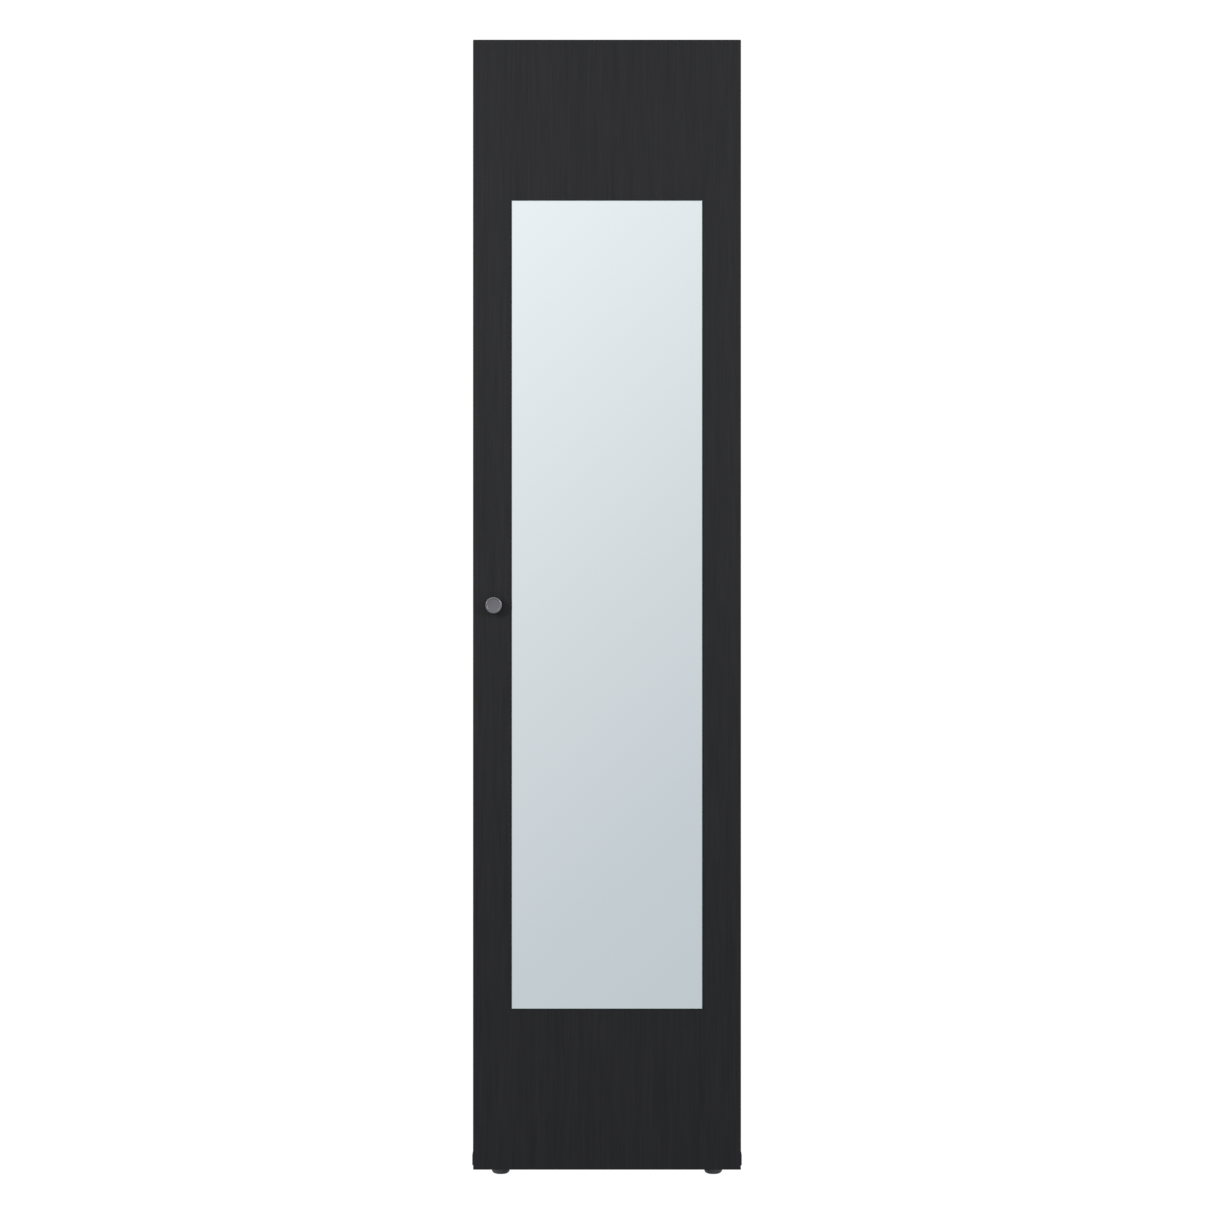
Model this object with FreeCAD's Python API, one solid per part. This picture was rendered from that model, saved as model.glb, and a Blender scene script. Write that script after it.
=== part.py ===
"""A tall, narrow wardrobe with one full-height hinged mirror door.

Millimetres: +X to the right seen from the front, +Y towards the wall, +Z up. The origin is the centre of
the bounding box at floor level. The door closes the whole front. It is hung on the right on four concealed
cup hinges that turn on a single fixed axis, and is pulled by a round knob on its left stile.
"""

import math
import os

import FreeCAD
import Part

V = FreeCAD.Vector

# ---- driving dimensions ---------------------------------------------------------------------------
WIDTH = 470.0                           # outside of the side panels
HEIGHT = 1996.0                         # floor to top
DEPTH = 570.0                           # door face to rear edge, without the knob
BOARD = 16.0                            # sides, top, bottom and shelves
DOOR_BOARD = 18.0
BACK_BOARD = 3.0
DOOR_GAP = 3.0                          # between the door and the front edges of the carcass
KNOB_REACH = 22.0
LIFT = 25.5                             # floor to the underside of the carcass boards

# ---- carcass planes -------------------------------------------------------------------------------
HALF = WIDTH / 2
INNER = HALF - BOARD                    # inner face of a side panel
REAR = (DEPTH + KNOB_REACH) / 2         # rear edges
DOOR_FACE = REAR - DEPTH
DOOR_BACK = DOOR_FACE + DOOR_BOARD
FRONT = DOOR_BACK + DOOR_GAP            # front edges of the carcass
FLOOR_TOP = LIFT + BOARD
TOP_UNDER = HEIGHT - BOARD
EASE = 0.6                              # eased board edges
CLEAR = 1.0                             # how far a cutting tool runs past the face it cuts
TOUCH = 0.01                            # closer than this counts as in the same plane

# ---- back -----------------------------------------------------------------------------------------
BACK_FRONT = REAR - 13.0                # front face of the back boards
BACK_REAR = BACK_FRONT + BACK_BOARD
GROOVE_DEPTH, GROOVE_PLAY = 7.0, 0.2
GROOVE_STOP = 9.0                       # solid board left above the grooves
BACK_INSET = 0.5                        # from a back board's edge to the bottom of its groove
STRIP_MID = (FLOOR_TOP + TOP_UNDER) / 2
STRIP_WEB, STRIP_FLANGE, STRIP_TALL, STRIP_PLAY = 1.2, 1.0, 26.0, 0.3
WEDGE_Z = (300.0, 760.0, 1260.0, 1720.0)
WEDGE_WIDE, WEDGE_DEEP, WEDGE_HALF_TALL, WEDGE_TIP, WEDGE_SLOPE = 14.0, 7.0, 9.0, 1.5, 22.0

# ---- inside ---------------------------------------------------------------------------------------
HAT_SHELF_UNDER = 1696.0
LOWER_SHELF_UNDER = 330.0
SHELF_SETBACK = 22.0
SHELF_REAR_PLAY = 1.5
SHELF_END_PLAY = 1.2
RAIL_Y, RAIL_Z = (FRONT + BACK_FRONT) / 2, 1636.0
RAIL_R, RAIL_WALL = 12.5, 1.2
RAIL_HALF = INNER - 4.0
SOCKET_R, SOCKET_FLANGE, SOCKET_REACH, SOCKET_WALL = 24.0, 3.0, 15.0, 2.5
SOCKET_BORE = RAIL_R + 0.1
SOCKET_SCREW_DZ, SOCKET_HEAD_R = 19.0, 4.0

# ---- door -----------------------------------------------------------------------------------------
DOOR_REVEAL = 1.0                       # side panel left showing each side of the door
DOOR_TOP_REVEAL = 2.0
DOOR_HALF = HALF - DOOR_REVEAL
DOOR_Z0, DOOR_Z1 = 19.0, HEIGHT - DOOR_TOP_REVEAL
DOOR_MID = (DOOR_Z0 + DOOR_Z1) / 2
DOOR_EASE = 1.0
MIRROR_W, MIRROR_H, MIRROR_T, MIRROR_CHAMFER = 333.0, 1412.0, 3.2, 0.8
TAPE_T, TAPE_HALF_WIDE, TAPE_INSET = 0.8, 9.5, 24.0
KNOB_X, KNOB_Z, KNOB_R = -(DOOR_HALF - 36.5), DOOR_MID - 1.0, 14.4
KNOB_HEAD = 9.0                         # thickness of the knob's head
KNOB_THREAD_DEPTH = 12.0
BUMPER_Z = (60.0, HEIGHT - 46.0)

# ---- hinges: (u, v) is inward from the right side's outer face, and back from the carcass's front --
HINGE_Z = (110.0, 700.0, 1300.0, 1890.0)
AXIS_U, AXIS_V = 9.0, -13.4             # the axis that the door turns on
CUP_R, CUP_EDGE, CUP_DEPTH, CUP_WALL, CUP_FLANGE = 17.5, 3.0, 13.5, 0.6, 1.0
CUP_U = DOOR_REVEAL + CUP_EDGE + CUP_R
CUP_FIT = 0.05
CUP_SCREW_U, CUP_SCREW_DZ = CUP_U + 9.5, 22.5
CUP_RIM, CUP_OUTER_RIM, CUP_WING_HALF = 1.0, 0.6, 6.0
PIN_R, PIN_PLAY = 1.25, 0.05
EYE_R = 2.2
ARM_STEEL, ARM_HALF = 2.2, 6.0          # gooseneck: thickness, and half its height
ARM_BEND = 2.5
CHANNEL_U = 24.0                        # face of the channel's web towards the side panel
CHANNEL_HALF, CHANNEL_LEG = 8.2, 1.2
CHANNEL_LEG_U = 18.5
CHANNEL_V0, CHANNEL_V1 = 6.0, 60.0
CLAMP_V, ADJUST_V = 51.0, 26.0          # the arm's two screws
WING_V, WING_HALF_DEEP, WING_T, WING_HALF_TALL = 37.0, 7.0, 2.2, 24.0
WING_SCREW_DZ = 16.0
SEAT_V0, SEAT_V1, SEAT_T, SEAT_HALF = 17.0, 58.0, 5.0, 6.6

# ---- feet and shoes -------------------------------------------------------------------------------
FOOT_X = 188.0
FOOT_Y = {"front": FRONT + 57.0, "rear": REAR - 45.0}
PAD_R, PAD_CONTACT_R, PAD_ROUND_Z, PAD_EASE = 15.9, 8.0, 7.0, 0.8
SHOE_FLOOR = 2.0
PAD_TOP = LIFT - SHOE_FLOOR - 0.1
STEM_R, STEM_HEAD_R, STEM_HEAD_Z0, STEM_HEAD_Z1 = 4.0, 7.5, 4.0, 9.0
STEM_TOP = LIFT + 15.0
STEM_PLAY = 0.05
KEY_R, KEY_DEPTH = 2.3, 5.0             # hexagon socket in a stem's top
BUSH_R, BUSH_FLANGE_R, BUSH_TOP = 6.0, 13.0, LIFT + 13.0
CAP_R, CAP_PLUG_R, CAP_PROUD, CAP_PLUG = 9.0, 5.9, 0.9, 0.6
SHOE_PROUD, SHOE_TOP, SHOE_LENGTH = 1.4, 47.0, 50.0
SHOE_TAPER, SHOE_LIP, SHOE_INSET = 6.0, 0.4, 0.5
PEG_R, PEG_LENGTH = 3.0, 11.5

# ---- fasteners ------------------------------------------------------------------------------------
CAM_R, CAM_DEPTH, CAM_REACH, CAM_FIT = 7.5, 12.5, 34.0, 0.1
CAM_Y = (FRONT + 105.0, REAR - 110.0)
CAM_COVER_R, CAM_COVER_T = 9.0, 0.9
CAM_DOWEL_R, CAM_DOWEL_THREAD_R, CAM_DOWEL_IN_SIDE, CAM_DOWEL_LENGTH = 3.4, 2.5, 11.0, 46.0
CAM_DOWEL_BORE_R = 4.0
WOOD_DOWEL_Y = (FRONT + 145.0, REAR - 160.0)
WOOD_DOWEL_R, WOOD_DOWEL_IN_SIDE, WOOD_DOWEL_IN_END, WOOD_DOWEL_TIP = 4.0, 10.0, 20.0, 1.0
SHELF_PIN_Y = (FRONT + 59.0, REAR - 60.0)
SHELF_PIN_STEP = 32.0
SHELF_PIN_R, SHELF_PIN_HOLE, SHELF_PIN_IN, SHELF_PIN_OUT = 2.5, 11.0, 10.0, 8.0
SHELF_PIN_COLLAR_R, SHELF_PIN_COLLAR_T = 4.0, 1.0
WOOD_SCREW_R, EURO_SCREW_R, SMALL_SCREW_R = 2.0, 2.5, 1.75
SCREW_PLAY = 0.2
# pan screws: shank radius, length, head radius, head height
SOCKET_SCREW = (WOOD_SCREW_R, 15.0, SOCKET_HEAD_R, 2.2)
WING_SCREW = (EURO_SCREW_R, 13.0, 4.2, 2.0)
CLAMP_SCREW = (EURO_SCREW_R, 9.5, 4.2, 2.0)
SETTING_SCREW = (EURO_SCREW_R, 5.0, 3.4, 1.2)
CUP_SCREW = (SMALL_SCREW_R, 13.5, 3.3, 1.4)
KNOB_SCREW = (WOOD_SCREW_R, DOOR_BOARD + 10.0, 4.2, 2.4)
CATCH_SCREW = (SMALL_SCREW_R, 13.5, 3.3, 1.8)
BRACKET_SCREW = (WOOD_SCREW_R, 13.5, 4.0, 2.2)
# depths of the pilot holes in the boards
SOCKET_PILOT, WING_PILOT, CATCH_PILOT, BRACKET_PILOT, CUP_PILOT = 13.0, 12.0, 11.0, 12.0, 13.0

# ---- catch and wall fitting -----------------------------------------------------------------------
CATCH_Z, CATCH_SCREW_DZ = 1140.0, 29.0
CATCH_SCREW_Y, CATCH_EAR = FRONT + 8.0, 3.0
STRIKE_X, STRIKE_T, STRIKE_HEAD_R = -(INNER - 6.5), 1.4, 3.2
MAGNET_X = -INNER + CATCH_EAR           # the pole plate nearer the side panel starts here
POLE_T, POLE_LONG, MAGNET_T, MAGNET_HALF = 1.2, 11.0, 4.6, 16.0
BRACKET_T, BRACKET_HALF, BRACKET_LEG = 2.2, 22.0, 36.0
BRACKET_DROP = 44.0
BRACKET_REAR = BACK_FRONT - 0.1
BRACKET_SCREW_X, BRACKET_SCREW_Y = 12.0, BACK_FRONT - 20.0
WALL_SCREW_Z, WALL_SCREW_R, WALL_PASSAGE_R = TOP_UNDER - 26.0, 3.0, 4.0


# ---- shape helpers --------------------------------------------------------------------------------
def box(x0, x1, y0, y1, z0, z1):
    """A box between two planes on each axis, given in any order."""
    low = V(min(x0, x1), min(y0, y1), min(z0, z1))
    return Part.makeBox(abs(x1 - x0), abs(y1 - y0), abs(z1 - z0), low)


def rod(radius, start, end):
    """A cylinder from start to end."""
    a, b = V(*start), V(*end)
    return Part.makeCylinder(radius, (b - a).Length, a, b - a)


def prism(points, run):
    """The closed outline through the points, carried along run."""
    return Part.Face(Part.makePolygon(points + [points[0]])).extrude(run)


def turned(profile, foot, axis):
    """A body of revolution from (radius, distance along the axis) points, starting at foot."""
    face = Part.Face(Part.makePolygon([V(r, 0, h) for r, h in profile + profile[:1]]))
    shape = face.revolve(V(0, 0, 0), V(0, 0, 1), 360)
    shape.Placement = FreeCAD.Placement(V(*foot), FreeCAD.Rotation(V(0, 0, 1), V(*axis)))
    return shape


def arc(centre, radii, start, end, steps=6):
    """Points on an ellipse, from start to end degrees."""
    turns = [math.radians(start + (end - start) * i / steps) for i in range(steps + 1)]
    return [(centre[0] + radii[0] * math.cos(t), centre[1] + radii[1] * math.sin(t)) for t in turns]


def eased(shape, size, along="XYZ"):
    """Rounds a box's edges that run along the named axes."""
    wanted = []
    for edge in shape.Edges:
        way = edge.tangentAt(edge.FirstParameter)
        lengths = {"X": abs(way.x), "Y": abs(way.y), "Z": abs(way.z)}
        if max(lengths, key=lengths.get) in along:
            wanted.append(edge)
    return shape.makeFillet(size, wanted)


def save(name, *shapes):
    """Writes one node, checking that each of its solids is closed and valid."""
    solids = [solid for shape in shapes for solid in shape.Solids]
    for solid in solids:
        if not solid.isValid() or solid.Volume <= 0:
            raise ValueError(f"{name} has a bad solid")
    shape = solids[0] if len(solids) == 1 else Part.makeCompound(solids)
    shape.exportStep(f"parts/{name}.step")


def pan_screw(foot, axis, radius, length, head_r, head_h):
    """A cross-head screw: its shank runs from foot along axis, with the domed head behind foot."""
    dome = arc((head_r * 0.55, -head_h * 0.3), (head_r * 0.45, head_h * 0.7), 270, 360, steps=3)
    profile = [(0, -head_h)] + dome + [(head_r, 0), (radius, 0), (radius, length - radius), (0, length)]
    along = V(*axis)
    top = V(*foot) - along * head_h
    arm, web = head_r * 0.55, head_r * 0.13
    first = V(0, 0, 1) if abs(along.z) < 0.5 else V(0, 1, 0)
    recess = []
    for long in (first, along.cross(first)):
        short = along.cross(long)
        rectangle = [top - along + long * s * arm + short * t * web
                     for s, t in ((-1, -1), (1, -1), (1, 1), (-1, 1))]
        recess.append(prism(rectangle, along * (1 + head_h * 0.6)))
    return turned(profile, foot, axis).cut(recess)


def sides():
    """-1 for the left of the wardrobe and +1 for the right."""
    return (-1, 1)


# ---- places shared by boards and their fasteners ---------------------------------------------------
FIXED_BOARD_UNDERSIDES = (LIFT, HAT_SHELF_UNDER, TOP_UNDER)


def cam_spots():
    """(side, x, y) of the four cams in a fixed board."""
    return [(side, side * (INNER - CAM_REACH), y) for side in sides() for y in CAM_Y]


def shelf_pin_heights():
    """Heights of the rows of pin holes: the shelf's own row in the middle."""
    return [LOWER_SHELF_UNDER - SHELF_PIN_R + SHELF_PIN_STEP * row for row in (-2, -1, 0, 1, 2)]


def socket_screw_spots():
    """(y, z) of the two screws in each rail socket."""
    return [(RAIL_Y, RAIL_Z + dz) for dz in (-SOCKET_SCREW_DZ, SOCKET_SCREW_DZ)]


def catch_screw_spots():
    """(y, z) of the catch's two screws."""
    return [(CATCH_SCREW_Y, CATCH_Z + dz) for dz in (-CATCH_SCREW_DZ, CATCH_SCREW_DZ)]


def shoe_middle(end):
    """Row y of the middle of a front or rear corner shoe."""
    return FRONT + SHOE_LENGTH / 2 if end == "front" else REAR - SHOE_LENGTH / 2


def foot_spots():
    """(x, y) of the four feet."""
    return [(side * FOOT_X, y) for side in sides() for y in FOOT_Y.values()]


def corners():
    """(name, side, end) of the wardrobe's four lower corners."""
    return [(f"{end}_{word}", side, end) for end in FOOT_Y for word, side in (("left", -1), ("right", 1))]


# ---- boards ---------------------------------------------------------------------------------------
def bores_from_inside(side, radius, depth, spots):
    """Bores into a side panel's inner face at (y, z) spots."""
    return [rod(radius, (side * (INNER - CLEAR), y, z), (side * (INNER + depth), y, z)) for y, z in spots]


def side_panel(side):
    board = eased(box(side * INNER, side * HALF, FRONT, REAR, LIFT, HEIGHT), EASE)
    middles = [under + BOARD / 2 for under in FIXED_BOARD_UNDERSIDES]
    tools = [box(side * (INNER - CLEAR), side * (INNER + GROOVE_DEPTH), BACK_FRONT - GROOVE_PLAY,
                 BACK_REAR + GROOVE_PLAY, LIFT - CLEAR, HEIGHT - GROOVE_STOP)]
    tools += bores_from_inside(side, CAM_DOWEL_THREAD_R, CAM_DOWEL_IN_SIDE,
                               [(y, z) for y in CAM_Y for z in middles])
    tools += bores_from_inside(side, WOOD_DOWEL_R, WOOD_DOWEL_IN_SIDE + CLEAR,
                               [(y, z) for y in WOOD_DOWEL_Y for z in middles])
    tools += bores_from_inside(side, SHELF_PIN_R, SHELF_PIN_HOLE,
                               [(y, z) for y in SHELF_PIN_Y for z in shelf_pin_heights()])
    tools += bores_from_inside(side, WOOD_SCREW_R, SOCKET_PILOT, socket_screw_spots())
    middle, peg_top = side * (INNER + BOARD / 2), LIFT + PEG_LENGTH + CLEAR
    tools += [rod(PEG_R, (middle, y, LIFT - CLEAR), (middle, y, peg_top)) for y in map(shoe_middle, FOOT_Y)]
    if side > 0:
        wing_screws = [(hy(WING_V), z + dz) for z in HINGE_Z for dz in (-WING_SCREW_DZ, WING_SCREW_DZ)]
        tools += bores_from_inside(side, EURO_SCREW_R, WING_PILOT, wing_screws)
    else:
        tools += bores_from_inside(side, SMALL_SCREW_R, CATCH_PILOT, catch_screw_spots())
    return board.cut(tools)


def fixed_board(under, y0, y1):
    """A board between the side panels, bored for its cams, cam dowels and wooden dowels."""
    board = eased(box(-INNER, INNER, y0, y1, under, under + BOARD), EASE, "X")
    middle = under + BOARD / 2
    tools = []
    for side, x, y in cam_spots():
        tools.append(rod(CAM_R, (x, y, under - CLEAR), (x, y, under + CAM_DEPTH)))
        tools.append(rod(CAM_DOWEL_BORE_R, (x, y, middle), (side * (INNER + CLEAR), y, middle)))
    for side in sides():
        for y in WOOD_DOWEL_Y:
            start = side * (INNER - WOOD_DOWEL_IN_END - CLEAR)
            tools.append(rod(WOOD_DOWEL_R, (start, y, middle), (side * (INNER + CLEAR), y, middle)))
    return board.cut(tools)


def groove_across(z0, z1):
    """The tool for a back board's groove along a top or bottom board."""
    return box(-HALF, HALF, BACK_FRONT - GROOVE_PLAY, BACK_REAR + GROOVE_PLAY, z0, z1)


def top_panel():
    tools = [rod(WOOD_SCREW_R, (side * BRACKET_SCREW_X, BRACKET_SCREW_Y, TOP_UNDER - CLEAR),
                 (side * BRACKET_SCREW_X, BRACKET_SCREW_Y, TOP_UNDER + BRACKET_PILOT)) for side in sides()]
    tools.append(groove_across(TOP_UNDER - CLEAR, TOP_UNDER + GROOVE_DEPTH))
    return fixed_board(TOP_UNDER, FRONT, REAR).cut(tools)


def bottom_panel():
    tools = [rod(BUSH_R, (x, y, LIFT - CLEAR), (x, y, FLOOR_TOP + CLEAR)) for x, y in foot_spots()]
    tools.append(groove_across(FLOOR_TOP - GROOVE_DEPTH, FLOOR_TOP + CLEAR))
    return fixed_board(LIFT, FRONT, REAR).cut(tools)


def hat_shelf():
    return fixed_board(HAT_SHELF_UNDER, FRONT + SHELF_SETBACK, BACK_FRONT - SHELF_REAR_PLAY)


def lower_shelf():
    half = INNER - SHELF_END_PLAY
    board = box(-half, half, FRONT + SHELF_SETBACK, BACK_FRONT - SHELF_REAR_PLAY,
                LOWER_SHELF_UNDER, LOWER_SHELF_UNDER + BOARD)
    return eased(board, EASE, "X")


def back_panels():
    """The lower and upper back boards, in their grooves, with the joint strip's web between them."""
    in_groove = GROOVE_DEPTH - BACK_INSET
    half, low, high = INNER + in_groove, FLOOR_TOP - in_groove, TOP_UNDER + in_groove
    lower = box(-half, half, BACK_FRONT, BACK_REAR, low, STRIP_MID - STRIP_WEB / 2)
    upper = box(-half, half, BACK_FRONT, BACK_REAR, STRIP_MID + STRIP_WEB / 2, high)
    passage = rod(WALL_PASSAGE_R, (0, BACK_FRONT - CLEAR, WALL_SCREW_Z), (0, BACK_REAR + CLEAR, WALL_SCREW_Z))
    return lower, upper.cut(passage)


def back_joint_strip():
    """An H section that takes the edges of both back boards."""
    half = INNER - STRIP_PLAY
    web = box(-half, half, BACK_FRONT, BACK_REAR, STRIP_MID - STRIP_WEB / 2, STRIP_MID + STRIP_WEB / 2)
    flanges = [box(-half, half, y, y + STRIP_FLANGE, STRIP_MID - STRIP_TALL / 2, STRIP_MID + STRIP_TALL / 2)
               for y in (BACK_FRONT - STRIP_FLANGE, BACK_REAR)]
    return web.fuse(flanges).removeSplitter()


def back_wedges():
    """Plastic wedges behind the back boards, sloping down from the side panels, that hold them in place."""
    wedges = []
    for side in sides():
        for z in WEDGE_Z:
            inner_x, tall, wide = side * (INNER - WEDGE_WIDE), WEDGE_HALF_TALL, 2 * WEDGE_WIDE
            block = box(inner_x, side * INNER, BACK_REAR, BACK_REAR + WEDGE_DEEP, z - tall, z + tall)
            slope = box(-wide, wide, 0, wide, -2 * tall, 2 * tall)
            slope.Placement = FreeCAD.Placement(V(inner_x, BACK_REAR + WEDGE_TIP, z),
                                                FreeCAD.Rotation(V(0, 0, 1), side * WEDGE_SLOPE))
            wedges.append(block.cut(slope))
    return wedges


# ---- board fasteners ------------------------------------------------------------------------------
def cam_locks():
    """Round cam housings, open towards their dowels, with a cross recess on the face that turns them."""
    mouth_half, slot_half, slot_reach, slot_depth = 3.8, 0.8, 4.5, 2.2
    cams = []
    for under in FIXED_BOARD_UNDERSIDES:
        middle = under + BOARD / 2
        for side, x, y in cam_spots():
            body = rod(CAM_R - CAM_FIT, (x, y, under + CAM_FIT), (x, y, under + CAM_DEPTH - CAM_FIT))
            mouth = box(x - side * mouth_half, x + side * CAM_R, y - mouth_half, y + mouth_half,
                        middle - mouth_half, middle + mouth_half)
            slots = [box(x - dx, x + dx, y - dy, y + dy, under, under + slot_depth)
                     for dx, dy in ((slot_reach, slot_half), (slot_half, slot_reach))]
            cams.append(body.cut([mouth] + slots))
    return cams


def cam_dowels():
    """Steel dowels screwed into the side panels, each with a waist and a head held in its cam."""
    thread, body, end = CAM_DOWEL_THREAD_R, CAM_DOWEL_R, CAM_DOWEL_LENGTH
    waist, head, taper = thread - 0.5, 3.0, 1.0
    profile = [(0, 0), (thread, 0), (thread, CAM_DOWEL_IN_SIDE), (body, CAM_DOWEL_IN_SIDE),
               (body, end - 2 * head - 2 * taper), (waist, end - 2 * head - taper),
               (waist, end - head - taper / 2), (body, end - head), (body, end), (0, end)]
    return [turned(profile, (side * (INNER + CAM_DOWEL_IN_SIDE), y, under + BOARD / 2), (-side, 0, 0))
            for under in FIXED_BOARD_UNDERSIDES for side in sides() for y in CAM_Y]


def cam_covers():
    """Thin plastic caps over the cams under the hat shelf and the top, where they show."""
    r, thick, ease = CAM_COVER_R, CAM_COVER_T, 0.5
    profile = [(0, 0), (r - ease, 0), (r, ease), (r, thick), (0, thick)]
    return [turned(profile, (x, y, under - thick), (0, 0, 1))
            for under in (HAT_SHELF_UNDER, TOP_UNDER) for _, x, y in cam_spots()]


def wood_dowels():
    length, tip = WOOD_DOWEL_IN_END + WOOD_DOWEL_IN_SIDE, WOOD_DOWEL_TIP
    profile = [(0, 0), (WOOD_DOWEL_R - tip, 0), (WOOD_DOWEL_R, tip), (WOOD_DOWEL_R, length - tip),
               (WOOD_DOWEL_R - tip, length), (0, length)]
    return [turned(profile, (side * (INNER - WOOD_DOWEL_IN_END), y, under + BOARD / 2), (side, 0, 0))
            for under in FIXED_BOARD_UNDERSIDES for side in sides() for y in WOOD_DOWEL_Y]


def shelf_pins():
    """Steel pins in the side panels: a shank in the hole, a collar, and the peg that carries the shelf."""
    r, collar, end = SHELF_PIN_R, SHELF_PIN_IN + SHELF_PIN_COLLAR_T, SHELF_PIN_IN + SHELF_PIN_OUT
    profile = [(0, 0), (r - 0.4, 0), (r, 0.5), (r, SHELF_PIN_IN), (SHELF_PIN_COLLAR_R, SHELF_PIN_IN),
               (SHELF_PIN_COLLAR_R, collar), (r, collar), (r, end - 0.5), (r - 0.5, end), (0, end)]
    return [turned(profile, (side * (INNER + SHELF_PIN_IN), y, LOWER_SHELF_UNDER - r), (-side, 0, 0))
            for side in sides() for y in SHELF_PIN_Y]


# ---- clothes rail ---------------------------------------------------------------------------------
def clothes_rail():
    outside = rod(RAIL_R, (-RAIL_HALF, RAIL_Y, RAIL_Z), (RAIL_HALF, RAIL_Y, RAIL_Z))
    return outside.cut(rod(RAIL_R - RAIL_WALL, (-INNER, RAIL_Y, RAIL_Z), (INNER, RAIL_Y, RAIL_Z)))


def rail_socket(side, open_top):
    """A screwed-on flange with a collar for the rail's end; an open top lets the rail drop in."""
    wall, face, far = side * INNER, side * (INNER - SOCKET_FLANGE), side * (INNER - 2 * SOCKET_REACH)

    def across(radius, start, end, z=RAIL_Z):
        return rod(radius, (start, RAIL_Y, z), (end, RAIL_Y, z))

    flange = across(SOCKET_R, wall, face)
    rim = [edge for edge in flange.Edges if edge.Closed and abs(edge.CenterOfMass.x - face) < TOUCH]
    collar = across(SOCKET_BORE + SOCKET_WALL, wall, side * (INNER - SOCKET_REACH))
    tools = [across(SOCKET_BORE, face, far)]
    if open_top:
        bore = SOCKET_BORE
        tools.append(box(face, far, RAIL_Y - bore, RAIL_Y + bore, RAIL_Z, RAIL_Z + 2 * SOCKET_R))
    for _, z in socket_screw_spots():
        tools.append(across(WOOD_SCREW_R + SCREW_PLAY, wall + side * CLEAR, far, z))
        tools.append(across(SOCKET_HEAD_R + 2 * SCREW_PLAY, face, far, z))
    return flange.makeFillet(SOCKET_FLANGE * 0.4, rim).fuse(collar).cut(tools)


def rail_socket_screws():
    face = INNER - SOCKET_FLANGE
    return [pan_screw((side * face, y, z), (side, 0, 0), *SOCKET_SCREW)
            for side in sides() for y, z in socket_screw_spots()]


# ---- feet -----------------------------------------------------------------------------------------
def foot_pad(x, y):
    """A plastic pad with a rounded lower edge, moulded round the head of its stem."""
    rounding = arc((PAD_CONTACT_R, PAD_ROUND_Z), (PAD_R - PAD_CONTACT_R, PAD_ROUND_Z), -90, 0)
    upper = [(PAD_R, PAD_TOP - PAD_EASE), (PAD_R - PAD_EASE, PAD_TOP), (0, PAD_TOP)]
    profile = [(0, 0)] + rounding + upper
    head = rod(STEM_HEAD_R, (x, y, STEM_HEAD_Z0), (x, y, STEM_HEAD_Z1))
    shank = rod(STEM_R, (x, y, STEM_HEAD_Z0), (x, y, PAD_TOP + CLEAR))
    return turned(profile, (x, y, 0), (0, 0, 1)).cut([head, shank])


def foot_stem(x, y):
    """A steel stem with a round head in the pad and a hexagon socket at its top."""
    profile = [(0, STEM_HEAD_Z0), (STEM_HEAD_R, STEM_HEAD_Z0), (STEM_HEAD_R, STEM_HEAD_Z1),
               (STEM_R, STEM_HEAD_Z1), (STEM_R, STEM_TOP - PAD_EASE), (STEM_R - PAD_EASE, STEM_TOP),
               (0, STEM_TOP)]
    key = [V(kx, ky, STEM_TOP - KEY_DEPTH) for kx, ky in arc((x, y), (KEY_R, KEY_R), 0, 300, steps=5)]
    return turned(profile, (x, y, 0), (0, 0, 1)).cut(prism(key, V(0, 0, KEY_DEPTH + CLEAR)))


def foot_bushes():
    """Bushes pressed up into the bottom board, each with a flange that its pad comes up against."""
    bore = STEM_R + STEM_PLAY
    profile = [(bore, LIFT - SHOE_FLOOR), (BUSH_FLANGE_R, LIFT - SHOE_FLOOR), (BUSH_FLANGE_R, LIFT),
               (BUSH_R, LIFT), (BUSH_R, BUSH_TOP), (bore, BUSH_TOP)]
    return [turned(profile, (x, y, 0), (0, 0, 1)) for x, y in foot_spots()]


def foot_access_caps():
    """Caps in the bottom board over the stems, lifted out to level the feet."""
    profile = [(0, FLOOR_TOP - CAP_PLUG), (CAP_PLUG_R, FLOOR_TOP - CAP_PLUG), (CAP_PLUG_R, FLOOR_TOP),
               (CAP_R, FLOOR_TOP), (CAP_R - 0.6, FLOOR_TOP + CAP_PROUD), (0, FLOOR_TOP + CAP_PROUD)]
    return [turned(profile, (x, y, 0), (0, 0, 1)) for x, y in foot_spots()]


def corner_shoe(side, end):
    """A plastic shoe under a side panel's corner: a floor, an outer cheek and a peg up into the board."""
    y0 = shoe_middle(end) - SHOE_LENGTH / 2
    inner_x, outer_x, bottom = INNER + SHOE_INSET, HALF + SHOE_PROUD, LIFT - SHOE_FLOOR
    outline = [(inner_x, bottom), (outer_x - EASE, bottom), (outer_x, bottom + EASE),
               (outer_x, SHOE_TOP - SHOE_TAPER), (HALF + SHOE_LIP, SHOE_TOP), (HALF, SHOE_TOP), (HALF, LIFT),
               (inner_x, LIFT)]
    shoe = prism([V(side * x, y0, z) for x, z in outline], V(0, SHOE_LENGTH, 0))
    upright_ends = [edge for edge in shoe.Edges
                    if abs(edge.CenterOfMass.x - side * outer_x) < TOUCH and edge.BoundBox.YLength < TOUCH]
    profile = [(0, 0), (PEG_R, 0), (PEG_R, PEG_LENGTH - EASE), (PEG_R - EASE, PEG_LENGTH), (0, PEG_LENGTH)]
    peg = turned(profile, (side * (INNER + BOARD / 2), shoe_middle(end), LIFT - SHOE_FLOOR / 2), (0, 0, 1))
    return shoe.makeFillet(SHOE_PROUD - 0.1, upright_ends).fuse(peg).removeSplitter()


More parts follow.
